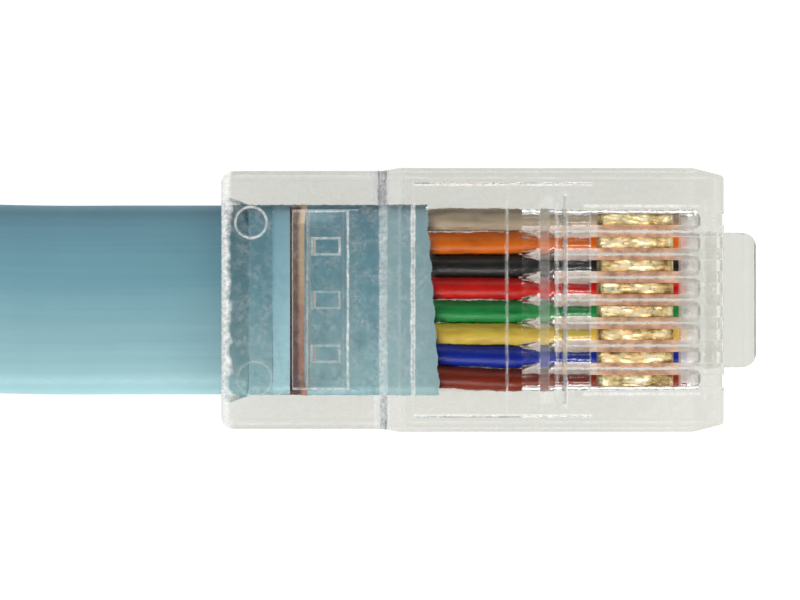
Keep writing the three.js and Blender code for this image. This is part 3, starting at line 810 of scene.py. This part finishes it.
def cableJacket():
    section = jacketSection(10, 5, jacket["corner"], jacket["crown"])
    near = Vector((exitPoint.x + jacket["seam"], exitPoint.y, exitPoint.z, 0))
    far = cableLine[-1].to_3d() + farHeading * (route["faceGap"] + jacket["seam"])
    line = [near] + cableLine + [Vector((*far, 90))]
    rings, distances = [], [0.0]
    for i, station in enumerate(line):
        centre = station.to_3d()
        heading = headingAt(line, i)
        side = heading.cross(Vector((0, 0, 1))).normalized()
        rise = side.cross(heading)
        twist = math.radians(station.w)
        normal = rise * math.cos(twist) + side * math.sin(twist)
        across = side * math.cos(twist) - rise * math.sin(twist)
        rings.append([centre + normal * u + across * v for u, v in section])
        if i:
            distances.append(distances[-1] + (centre - line[i - 1].to_3d()).length)
    piece = sweep("cable_jacket", section, rings, distances, finishes["jacket"])
    piece.data.transform(Matrix.Scale(mm, 4))
    print("cable length:", round(distances[-1]), "mm")
    return piece, [tuple(station.to_3d() * mm) for station in line]


cable, cablePath = cableJacket()

# Where each plug stands
nearPlace = Matrix.Translation(housingLow * Vector((1, 0, 1)))
farBasis = Matrix((farHeading, farSide.cross(farHeading), farSide)).transposed().to_4x4()
farOrigin = cableLine[-1].to_3d() + farHeading * route["faceGap"] - farSide * plug["axis"]
farPlace = Matrix.Translation(farOrigin) @ farBasis


def place(piece, where):
    piece.data.transform(Matrix.Scale(mm, 4) @ where)
    piece.data.update()
    return piece


# Clear housing and latch, moulded as one
housing = {
    "rearWidth": 11.44, "rearLength": 7.2, "rampLength": 0.7, "topDrop": 0.35, "rearCorner": 0.67,
    "noseTaper": 1.4, "noseDepth": 0.35, "edge": 0.13,
    "mouthLength": 1.3, "mouthFlare": 0.45, "grip": 0.03,  # the walls press this far into the jacket
    "cavityHalf": 0.53, "cavitySide": 0.5, "cavityEnd": 13.4,
    "channel": [  # x, half width and half height of a wire's channel
        (13.15, 0.98, 0.5), (13.45, 0.8, 0.5), (13.75, 0.62, 0.485), (14.05, 0.5, 0.47), (14.2, 0.465, 0.465),
        (21.05, 0.465, 0.465), (21.28, 0.4, 0.4), (21.4, 0.2, 0.2),
    ],
    "pocketStart": 2.3, "pocketEnd": 6.2, "pocketWidth": 8.3,
    "grooveTop": (14.1, 15.32), "grooveFloor": (14.8, 15.12), "grooveDepth": 0.8, "grooveWidth": 9.2,
    "slot": 0.52, "slotEnds": (16.4, 20.45), "noseGroove": 1.5,
    "marks": [(1.34, 3.44, 0.73), (1.5, -3.5, 0.8)],  # ejector rings: x, y and radius
    "markDepth": 0.05, "markWidth": 0.08, "ringSides": 36,
    "lines": (8.52, 12.68), "lineWidth": 0.06,
    "ledge": (5.13, 8.6, 16.4),  # y, start and end of the lowered strip along each side
    "ledgeSlant": 0.07, "ledgeDepth": 0.12, "ledgeEdge": 0.16,
}
frontTop = plug["top"]
rearTop = frontTop - housing["topDrop"]
rampEnd = housing["rearLength"] + housing["rampLength"]
jacketTop = plug["axis"] + jacket["thickness"] / 2
wedge = {
    "start": 3.1, "tip": 0.65, "press": 0.45, "tipHeight": 0.55, "height": 1.25, "root": 0.6, "sideGap": 0.12,
    "clearance": 0.05, "edge": 0.07, "marks": [(2.4, 0.75), (0, 0.75), (-2.4, 0.7)], "markLength": 1.25,
    "markDepth": 0.42, "markInset": 0.25,
    "panel": (0, 7.9, 1.72, 0.14, 0.1),  # y, width, length, depth and inset of the sunk face with the marks
}
latch = {
    "width": 6.1, "lever": 3.25, "tongueHeight": 1.7, "corner": 0.8, "overlap": 0.1, "shoulder": 14.0,
    "tip": 6.6, "tipThickness": 0.95, "foot": 0.9, "root": 1.3, "gap": 0.35, "edge": 0.12,
}


def bodyBlank():
    half = plug["width"] / 2
    rearHalf = housing["rearWidth"] / 2
    noseHalf = half - housing["noseDepth"]
    taper = plug["length"] - housing["noseTaper"]
    nose, rear = plug["length"], housing["rearLength"]
    side = [
        (0, 0, 0.3), (rear, 0, 0.3), (rampEnd, plug["heelDrop"], 0.4), (nose, plug["heelDrop"]),
        (nose, frontTop, 0.3), (rampEnd, frontTop, 0.2), (rear, rearTop), (0, rearTop, 0.42),
    ]
    edge = [
        (0, -rearHalf, housing["rearCorner"]), (rear, -rearHalf), (rampEnd, -half), (taper, -half),
        (nose, -noseHalf, 0.2), (nose, noseHalf, 0.2), (taper, half), (rampEnd, half), (rear, rearHalf),
        (0, rearHalf, housing["rearCorner"]),
    ]
    blank = solid("blank", roundedOutline(side), -half - 1, half + 1)
    combine(blank, [solid("plan", roundedOutline(edge), -1, frontTop + 1, "z")], "INTERSECT")
    blank.data = soften(blank.data, housing["edge"])
    return blank


def latchBlank():
    rootTop = plug["heelDrop"] - latch["gap"]
    rootBottom = rootTop - latch["root"]
    nose, end = plug["length"], plug["tongueEnd"]
    tongueTop = plug["heelDrop"] + latch["tongueHeight"]
    tipTop = latch["tipThickness"] - plug["tipDrop"]
    side = [
        (nose - latch["overlap"], tongueTop), (nose - latch["overlap"], plug["heelDrop"] + latch["overlap"]),
        (nose - 0.05, plug["heelDrop"] - 0.1, 0.05), (nose - latch["gap"], rootTop, 0.1),
        (latch["tip"], tipTop, 0.2), (latch["tip"], -plug["tipDrop"], 0.25),
        (latch["tip"] + latch["foot"], -plug["tipDrop"]), (nose - 0.75, rootBottom, 0.3),
        (end, rootBottom + latch["root"] / 2, 0.7), (end, tongueTop, 0.6),
    ]
    wide, narrow, corner = latch["width"] / 2, latch["lever"] / 2, latch["corner"]
    edge = [
        (end, -wide, corner), (end, wide, corner), (latch["shoulder"], wide, 0.2),
        (latch["shoulder"], narrow), (latch["tip"], narrow, 0.5), (latch["tip"], -narrow, 0.5),
        (latch["shoulder"], -narrow), (latch["shoulder"], -wide, 0.2),
    ]
    blank = solid("latch", roundedOutline(side), -wide - 1, wide + 1)
    combine(blank, [solid("plan", roundedOutline(edge), -plug["tipDrop"] - 1, frontTop, "z")], "INTERSECT")
    blank.data = soften(blank.data, latch["edge"])
    return blank


def wedgeBar():
    tipBottom = jacketTop - wedge["press"]
    rootBottom = jacketTop + wedge["clearance"]
    tipTop = tipBottom + wedge["tipHeight"]
    end = housing["pocketEnd"]
    start, tipEnd, root = wedge["start"], wedge["start"] + wedge["tip"], wedge["root"]
    slopeTop = tipTop + wedge["tipHeight"] / 2
    rootTop = rootBottom + wedge["height"]
    outline = [
        (start, tipBottom), (tipEnd, tipBottom), (end, rootBottom), (end + root, rootBottom),
        (end + root, rootTop), (end - root, rootTop), (tipEnd, slopeTop), (start, tipTop),
    ]
    half = housing["pocketWidth"] / 2 - wedge["sideGap"]
    bar = newObject("bar", soften(prism("bar", outline, -half, half), wedge["edge"], 2, 20))
    slope = math.atan2(rootTop - slopeTop, end - root - tipEnd)
    size = (wedge["markLength"], wedge["markDepth"], wedge["markInset"])
    tools = []
    for y, width, length, depth, inset in [wedge["panel"]] + [(*mark, *size) for mark in wedge["marks"]]:
        mark = box("mark", (0, length), (-width / 2, width / 2), (-depth, 1))
        mark.transform(Matrix.Rotation(-slope, 4, "Y"))
        mark.transform(Matrix.Translation((tipEnd + inset, y, slopeTop + inset * math.tan(slope))))
        tools.append(newObject("mark", mark))
    return combine(bar, tools)


def mouth():
    corners = ((-1, -1), (1, -1), (1, 1), (-1, 1))
    points = []
    for x, extra in ((-0.1, housing["mouthFlare"] + 0.03), (housing["mouthLength"], -housing["grip"] / 2)):
        wide, high = jacket["width"] / 2 + extra, jacket["thickness"] / 2 + extra
        points += [(x, y * wide, plug["axis"] + z * high) for y, z in corners]
    faces = [(0, 1, 2, 3), (4, 5, 6, 7)] + [(i, (i + 1) % 4, (i + 1) % 4 + 4, i + 4) for i in range(4)]
    return newObject("mouth", meshFrom("mouth", points, faces))


def jacketCavity():
    high, wide = jacket["thickness"] / 2 - housing["grip"], jacket["width"] / 2 - housing["grip"]
    low, top = (-wide, plug["axis"] - high), (wide, plug["axis"] + high)
    outline = rectangle(low, top, jacket["pressedCorner"], 7)
    return solid("cavity", outline, -1, jacket["inside"] - 0.2, "x")


def ejectorRing(x, y, radius):
    angles = [2 * math.pi * i / housing["ringSides"] for i in range(housing["ringSides"])]
    outer, inner = (
        [(x + reach * math.cos(a), y + reach * math.sin(a)) for a in angles]
        for reach in (radius, radius - housing["markWidth"])
    )
    ring = solid("ring", outer, rearTop - housing["markDepth"], rearTop + 0.1, "z")
    return combine(ring, [solid("core", inner, rearTop - 1, rearTop + 1, "z")])


def surfaceLines():  # the mould's fine lines and the lowered strip along each side
    lineHalf, reach = housing["lineWidth"] / 2, plug["width"]
    lines = []
    for x in housing["lines"]:
        notch = [(x - lineHalf, frontTop + 0.01), (x, frontTop - lineHalf), (x + lineHalf, frontTop + 0.01)]
        lines.append(solid("line", notch, -reach, reach))
    y, start, end = housing["ledge"]
    low, edge = frontTop - housing["ledgeDepth"], frontTop - housing["ledgeEdge"]
    for side in (-1, 1):
        strip = [(side * y, frontTop + 0.01), (side * (y + housing["ledgeSlant"]), low)]
        strip += [(side * reach, edge), (side * reach, frontTop + 1)]
        lines.append(solid("ledge", strip, start, end, "x"))
    return lines


def wireChannels():
    made = []
    for y in wireRows:
        widest = housing["cavitySide"] if abs(y) > wireRows[0] - 0.01 else 1
        rings = [(x, min(wide, widest), high) for x, wide, high in housing["channel"]]
        made.append(newObject("channel", loft("channel", rings, y, plug["axis"])))
    return made


def housingCutters():
    axis, half, inside = plug["axis"], housing["cavityHalf"], jacket["inside"]
    rowHalf = wireRows[0] + housing["cavitySide"]
    pocketHalf = housing["pocketWidth"] / 2
    (grooveStart, grooveEnd), (floorStart, floorEnd) = housing["grooveTop"], housing["grooveFloor"]
    grooveFloor = frontTop - housing["grooveDepth"]
    groove = [(grooveStart - 0.03, frontTop + 0.1), (floorStart, grooveFloor), (floorEnd, grooveFloor)]
    groove += [(grooveEnd + 0.03, frontTop + 0.1)]
    room = rectangle((-rowHalf, axis - half), (rowHalf, axis + half))
    pocket = rectangle((housing["pocketStart"], -pocketHalf), (housing["pocketEnd"], pocketHalf), 0.3)
    slot = (-housing["slot"] / 2, housing["slot"] / 2)
    slotStart, slotEnd = housing["slotEnds"]
    rise = (frontTop - housing["noseGroove"], frontTop + 1.2)
    return [
        [mouth(), jacketCavity(), solid("room", room, inside - 0.25, housing["cavityEnd"], "x")],
        wireChannels(),
        [
            cutterRow("slots", box("slot", (slotStart, slotEnd), slot, (axis, frontTop + 1))),
            cutterRow("grooves", box("groove", (slotEnd - 0.2, plug["length"] + 1), slot, rise)),
        ],
        [
            solid("pocket", pocket, axis, rearTop + 1, "z"),
            solid("comb", groove, -housing["grooveWidth"] / 2, housing["grooveWidth"] / 2),
        ],
        [ejectorRing(*mark) for mark in housing["marks"]] + surfaceLines(),
    ]


clearFinishes = ("clear", "shadedUnderside", "frosted", "edge", "shadedTongue", "top", "divider")


def faceFinish(face):  # the finish of each face of the clear plug, by where it lies and how it is turned
    x, y, z = face.center
    normal = face.normal
    axis, heelDrop = plug["axis"], plug["heelDrop"]
    inRow = abs(y) < wireRows[0] + 0.2  # the outermost flanks stay clear, so the side shows the gold
    inRoom = housing["cavityEnd"] - 0.3 < x < plug["length"] - 0.1 and abs(z - axis) < 0.52
    inSlot = housing["slotEnds"][0] < x < plug["length"] + 0.1 and axis < z < frontTop - 0.05
    channel = inRow and inRoom and abs(normal.z) < 0.8
    slot = inRow and inSlot and normal.x < 0.9 and normal.z < 0.8
    onBar = wedge["start"] - 0.02 < x < wedge["start"] + wedge["tip"] + 2 and z > jacketTop
    bar = onBar and abs(y) < housing["pocketWidth"] / 2 and -0.5 < normal.z < 0.8 and normal.x > -0.9
    heel = housing["rearLength"] - 0.4 < x < rampEnd + 0.3 and z < heelDrop + 0.05 and normal.x > 0.05
    inMouth = x < housing["mouthLength"] and 4 < abs(y) < 4.8 and z < jacketTop + 0.4
    if channel or slot:
        return "divider"
    if bar or heel or (inMouth and abs(normal.y) > 0.2):
        return "frosted"
    # painted shade on the slanted edges along the top's sides
    if z > rearTop - 0.3 and 0.25 < normal.z < 0.97 and abs(y) > 5.4:
        return "edge"
    # painted shade on the latch's tongue
    if x > plug["length"] + 0.03:
        return "shadedTongue"
    if z > jacketTop and normal.z > 0.15:
        return "top"
    # painted shade on the faces underneath
    under = x < plug["length"] and -0.05 < z < heelDrop + 0.05 and normal.z < -0.5
    return "shadedUnderside" if under else "clear"


def clearPlug():
    body = bodyBlank()
    for tools in housingCutters():
        combine(body, tools)
    combine(body, [wedgeBar()], "UNION")
    combine(body, [latchBlank()], "UNION")
    body.data.materials.clear()
    for name in clearFinishes:
        body.data.materials.append(finishes[name])
    for face in body.data.polygons:
        face.material_index = clearFinishes.index(faceFinish(face))
    points = body.data.vertices
    mapSurface(body.data, lambda number: points[number].co.xy, "Plan")  # x and y in the plug's frame
    print("clear plug:", len(body.data.polygons), "faces")
    return shadeBySize(body, 32)


# Wires, their strand ends and the gold contacts
wire = {
    "radius": 0.435, "swell": 0.172, "swellEnds": (0.36, 0.43), "start": 8.9, "settled": 13.2, "end": 20.8,
    "straight": (14.5, 16.0, 18.0), "waver": 0.02, "rings": 90,
    "shifts": [0.0, -0.02, 0.0, 0.03, 0.03, 0.0, 0.14, 0.17],  # how far each starts from its channel's line
    "strandRadius": 0.07, "strandSpread": 0.145, "strandLength": 0.5,
}
contact = {
    "start": 16.75, "length": 3.35, "thickness": 0.46, "recess": 0.6, "shoulder": 0.45, "edge": 0.09,
    "tine": 0.7, "tineInset": 0.45, "tinePoint": 0.15, "dish": 0.1,
}


def wirePiece(name, colour, row):
    start, settled, axis = wire["start"], wire["settled"], plug["axis"]
    startY, endY = wireRows[row] + wire["shifts"][row], wireRows[row]
    points = []
    for k in range(9):
        t = k / 8
        ease = t * t * (3 - 2 * t)
        waver = wire["waver"] * math.sin(math.pi * t) * math.cos(2.3 * row)
        points.append((start + (settled - start) * t, startY + (endY - startY) * ease + waver, axis))
    points += [(x, endY, axis) for x in (*wire["straight"], wire["end"])]
    bulgeEnd, slimStart = wire["swellEnds"]
    values = {
        "Radius": wire["radius"], "Bulge": wire["swell"], "Bulge End": bulgeEnd, "Slim Start": slimStart,
        "Rings": wire["rings"], "Finish": finishes[colour],
    }
    mesh = plainMesh(name, points, [(i, i + 1) for i in range(len(points) - 1)])
    return grow(name, mesh, trees["tube"], values)


def strandPiece(name):
    values = {
        "Strand Radius": wire["strandRadius"], "Strand Length": wire["strandLength"],
        "Spread": wire["strandSpread"], "Finish": finishes["tinned"],
    }
    points = [(wire["end"] - 0.1, y, plug["axis"]) for y in wireRows]
    return grow(name, plainMesh(name, points), trees["strands"], values)


def contactPiece(name, row):
    start, length = contact["start"], contact["length"]
    end = start + length
    top = frontTop - contact["recess"]
    foot = plug["axis"] + wire["radius"] + contact["shoulder"]
    tip = plug["axis"] - wire["radius"] + contact["tinePoint"] + wire["radius"] / 2
    outline = [(start, foot)]
    for tineStart in (start + contact["tineInset"], end - contact["tineInset"] - contact["tine"]):
        wide = contact["tine"]
        outline += [
            (tineStart, foot), (tineStart + 0.05, tip + wide / 2), (tineStart + wide / 2, tip),
            (tineStart + wide - 0.05, tip + wide / 2), (tineStart + wide, foot),
        ]
    outline += [(end, foot), (end, top, 0.7)]
    crown = [(end - 0.9, top), (start + length / 2, top - contact["dish"], 0.9), (start + 0.7, top)]
    outline += crown + [(start, top, 0.25)]
    half = contact["thickness"] / 2
    y = wireRows[row]
    mesh = soften(prism(name, roundedOutline(outline, 6), y - half, y + half), contact["edge"], 4, 50)
    mesh.materials.append(finishes["gold"])

    def spot(number):
        point = mesh.vertices[number].co
        return ((point.x - start) / length, (point.y - y) / (2 * half) + 0.5)

    mapSurface(mesh, spot)
    return shadeBySize(newObject(name, mesh), 40)


# Jacket's end inside the plug, pressed down by the wedge bar
sleeve = {
    "stops": [1.9, 2.5, 2.9, 3.02, 3.1, 3.4, 3.7, 3.8, 4.4, 5.0, 5.6, 6.2, 7.0, 8.0, 8.7, 9.0],
    # where it is cut off, how much later it ends at its other side, and the cut's waves and lean
    "cut": 9.15, "slant": 0.58, "scallop": 0.1, "lean": 0.06,
    "bruise": (3.02, 3.81), "sideFade": 0.7,
}


def jacketEnd(name, mirrored):
    section = jacketSection(32, 5, jacket["pressedCorner"], 0)
    stops = [jacket["seam"]] + sleeve["stops"]
    rings = [[Vector((x, v, plug["axis"] + u - pressed(x, u, v))) for u, v in section] for x in stops]
    last = []
    for u, v in section:
        share = 0.5 - v / jacket["width"]
        scallop = sleeve["scallop"] * abs(math.sin(math.pi * v / plug["pitch"]))
        x = sleeve["cut"] + sleeve["slant"] * share + scallop - sleeve["lean"] * abs(u)
        last.append(Vector((x, v, plug["axis"] + u)))
    rings.append(last)
    piece = sweep(name, section, rings, stops + [jacket["inside"]], finishes["sleeve"], mirrored)
    piece.data.materials.append(finishes["bite"])
    start, end = sleeve["bruise"]
    for face in piece.data.polygons:
        face.material_index = int(start < face.center.x < end and face.normal.z > 0.1)
    return piece


def pressed(x, u, v):
    if u <= 0 or abs(v) > housing["pocketWidth"] / 2 - 0.1:
        return 0
    start, tipEnd = wedge["start"], wedge["start"] + wedge["tip"]
    # shallower towards the sides
    side = min(1, (housing["pocketWidth"] / 2 - abs(v)) / sleeve["sideFade"])
    full = (wedge["press"] + wedge["clearance"]) * side * u / (jacket["thickness"] / 2)
    if x <= start - 0.05:
        return 0.0
    if x <= tipEnd + 0.05:
        return full
    return max(0, full * (housing["pocketEnd"] - x) / (housing["pocketEnd"] - tipEnd))


# Straps round the coil
strap = {
    "width": 8.0, "thickness": 0.55, "thinEdge": 0.55, "sideGap": 0.3, "clearance": 0.3, "lift": 0.1,
    "overlap": 9.0, "lapRise": 0.6, "angles": (-38, 128), "steps": 8, "stepLength": 1.5,
}


def strapPath():  # round the coil's turns, as seen across the strap's width, with its lap on top
    half, reach, low = strap["width"] / 2, jacket["thickness"] / 2, strap["clearance"]
    inner = math.sqrt((innerRadius - reach) ** 2 - half**2) - strap["sideGap"] - low
    outer = route["outerRadius"] + reach + strap["sideGap"] + low
    top = route["lift"] + jacket["width"] + strap["lift"] + low
    lap = top + strap["lapRise"]
    corners = [
        (outer - 1.2, top), (inner, top, 0.5), (inner, low, 0.5), (outer, low, 0.5), (outer, lap, 0.7),
        (outer - strap["overlap"], lap),
    ]
    line = [Vector(point) for point in roundedOutline(corners, 6, closed=False)]
    path = line[:1]
    for a, b in zip(line, line[1:]):
        gap = b - a
        pieces = max(1, round(gap.length / strap["stepLength"]))
        path += [a + gap * (k + 1) / pieces for k in range(pieces)]
    return path


def strapPiece(name, degrees):
    half, thick, count = strap["width"] / 2, strap["thickness"], strap["steps"] + 1
    path = strapPath()
    last = len(path) - 1
    normals, distances = [], [0.0]
    for i, point in enumerate(path):
        ahead = (path[min(i + 1, last)] - path[max(i - 1, 0)]).normalized()
        normals.append(Vector((-ahead.y, ahead.x)))
        if i:
            distances.append(distances[-1] + (point - path[i - 1]).length)
    points, faces = [], []
    for side in (-1, 1):
        for point, normal in zip(path, normals):
            for k in range(count):
                y = 2 * k / strap["steps"] - 1
                edge = 1 - strap["thinEdge"] * abs(y) ** 8
                spot = point + normal * side * thick / 2 * edge
                points.append((spot.x, y * half, spot.y))
    stride = len(path) * count
    for i in range(last):
        for k in range(count - 1):
            a, b = i * count + k, (i + 1) * count + k
            faces += [(a, a + 1, b + 1, b), (a + stride, b + stride, b + 1 + stride, a + 1 + stride)]
        for k in (0, count - 1):
            a, b = i * count + k, (i + 1) * count + k
            faces.append((a, b, b + stride, a + stride))
    for i in (0, last):
        for k in range(count - 1):
            a, b = i * count + k, i * count + k + 1
            faces.append((a, b, b + stride, a + stride))

    def spotOnWeave(number):
        i, k = divmod(number % stride, count)
        return (k / strap["steps"], distances[i])

    mesh = plainMesh(name, points, faces=faces)
    mapSurface(mesh, spotOnWeave)
    faceOutwards(mesh)
    mesh.materials.append(finishes["strap"])
    piece = shadeBySize(newObject(name, mesh), 50)
    turn = Matrix.Rotation(math.radians(degrees), 4, "Z")
    return place(piece, Matrix.Translation(coilCentre * Vector((1, 1, 0))) @ turn)


# Two points along this direction, between the housing's body and the latch; buildPlug works them out and uses
# them no further
hinge = {"direction": (-0.2095, 0, 0.9778), "start": -3.30, "end": -3.56}


def declare(piece, body, slotName, *nodes):
    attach(piece, body)
    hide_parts(*nodes)


def buildPlug(prefix, where, clearMesh):
    made = []
    clear = newObject(prefix + "plug_clear", clearMesh.copy())
    place(clear, where)
    clear.visible_shadow = False
    direction = Vector(hinge["direction"])
    start, end = (where @ (direction * hinge[name]) * mm for name in ("start", "end"))
    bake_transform(clear)
    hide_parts(prefix + "plug_housing", prefix + "plug_latch")
    made.append(clear)
    insideEnd = place(jacketEnd(prefix + "jacket_sleeve", prefix != ""), where)
    declare(insideEnd, "cable", "jacket_pvc", prefix + "jacket_end")
    made.append(insideEnd)
    colours = list(wireColours)
    order = list(reversed(colours)) if prefix else colours
    for row, colour in enumerate(order):
        number = colours.index(colour) + 1
        piece = place(wirePiece(f"{prefix}{colour}_wire", colour, row), where)
        declare(piece, "cable", "wire_" + colour, f"{prefix}wire_{number}_{colour}")
        blade = place(contactPiece(f"{prefix}gold_contact_{row + 1}", row), where)
        declare(blade, "cable", "contact_gold", f"{prefix}contact_{row + 1}")
        made += [piece, blade]
    strands = place(strandPiece(prefix + "strand_ends"), where)
    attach(strands, "cable")
    made.append(strands)
    print(prefix or "near_", "plug pieces:", len(made))
    return made


carrier = clearPlug()
clearMesh = carrier.data
bpy.data.objects.remove(carrier)
nearPieces = buildPlug("", nearPlace, clearMesh)
farPieces = buildPlug("far_", farPlace, clearMesh)
straps = []
for i, degrees in enumerate(strap["angles"]):
    band = strapPiece(f"strap_band_{i + 1}", degrees)
    declare(band, "cable", "strap_fabric", f"coil_strap_{i + 1}")
    straps.append(band)
declare(cable, "cable", "jacket_pvc", "cable_run", "cable_coil", "cable_tail")
farPieces + straps


# Floor and light
def addFloor():
    mesh = plainMesh("floor", [(-2, -2, 0), (2, -2, 0), (2, 2, 0), (-2, 2, 0)], faces=[(0, 1, 2, 3)])
    finish = Finish("floor_paint", {"Roughness": 0.9, "Emission Color": (1, 1, 1), "Emission Strength": 0.75})
    cloud = finish.grain(0.01, finish.places(), 2)
    finish.feed("Base Color", finish.ramp(cloud, [(0.3, (0.48, 0.48, 0.48)), (0.7, (0.52, 0.52, 0.52))]))
    mesh.materials.append(finish.material)
    floor = newObject("floor", mesh)


def addLight(name, place, size, power):
    light = bpy.data.objects.new(name, bpy.data.lights.new(name, "AREA"))
    light.data.shape = "DISK"
    light.data.size = size
    light.data.energy = power
    light.location = place
    light.rotation_euler = (-Vector(place)).to_track_quat("-Z", "Y").to_euler()
    scene.collection.objects.link(light)


def addWorld():
    world = bpy.data.worlds.new("studio")
    scene.world = world
    world.use_nodes = True
    tree = world.node_tree
    where = addNode(tree, "ShaderNodeTexCoord").outputs["Generated"]
    height = addNode(tree, "ShaderNodeSeparateXYZ", {}, {"Vector": where}).outputs["Z"]
    greys = [(0.0, 0.4), (0.3, 0.5), (0.8, 0.75), (0.93, 1.0), (0.975, 0.8), (0.992, 0.03)]
    stops = [(place, (grey, grey, grey)) for place, grey in greys]
    shade = addNode(tree, "ShaderNodeValToRGB", {"stops": stops}, {"Fac": height})
    background = tree.nodes["Background"]
    tree.links.new(shade.outputs["Color"], background.inputs["Color"])
    background.inputs["Strength"].default_value = 0.8


addFloor()
addWorld()
addLight("key", (-0.1, -0.6, 0.5), 0.4, 4.5)
addLight("fill", (0.2, 0.6, 0.5), 0.4, 1.8)
scene.view_settings.view_transform = "Standard"
scene.cycles.caustics_reflective = False
scene.cycles.caustics_refractive = False
scene.cycles.max_bounces = 24
scene.cycles.transmission_bounces = 24
print("floor and lights set")
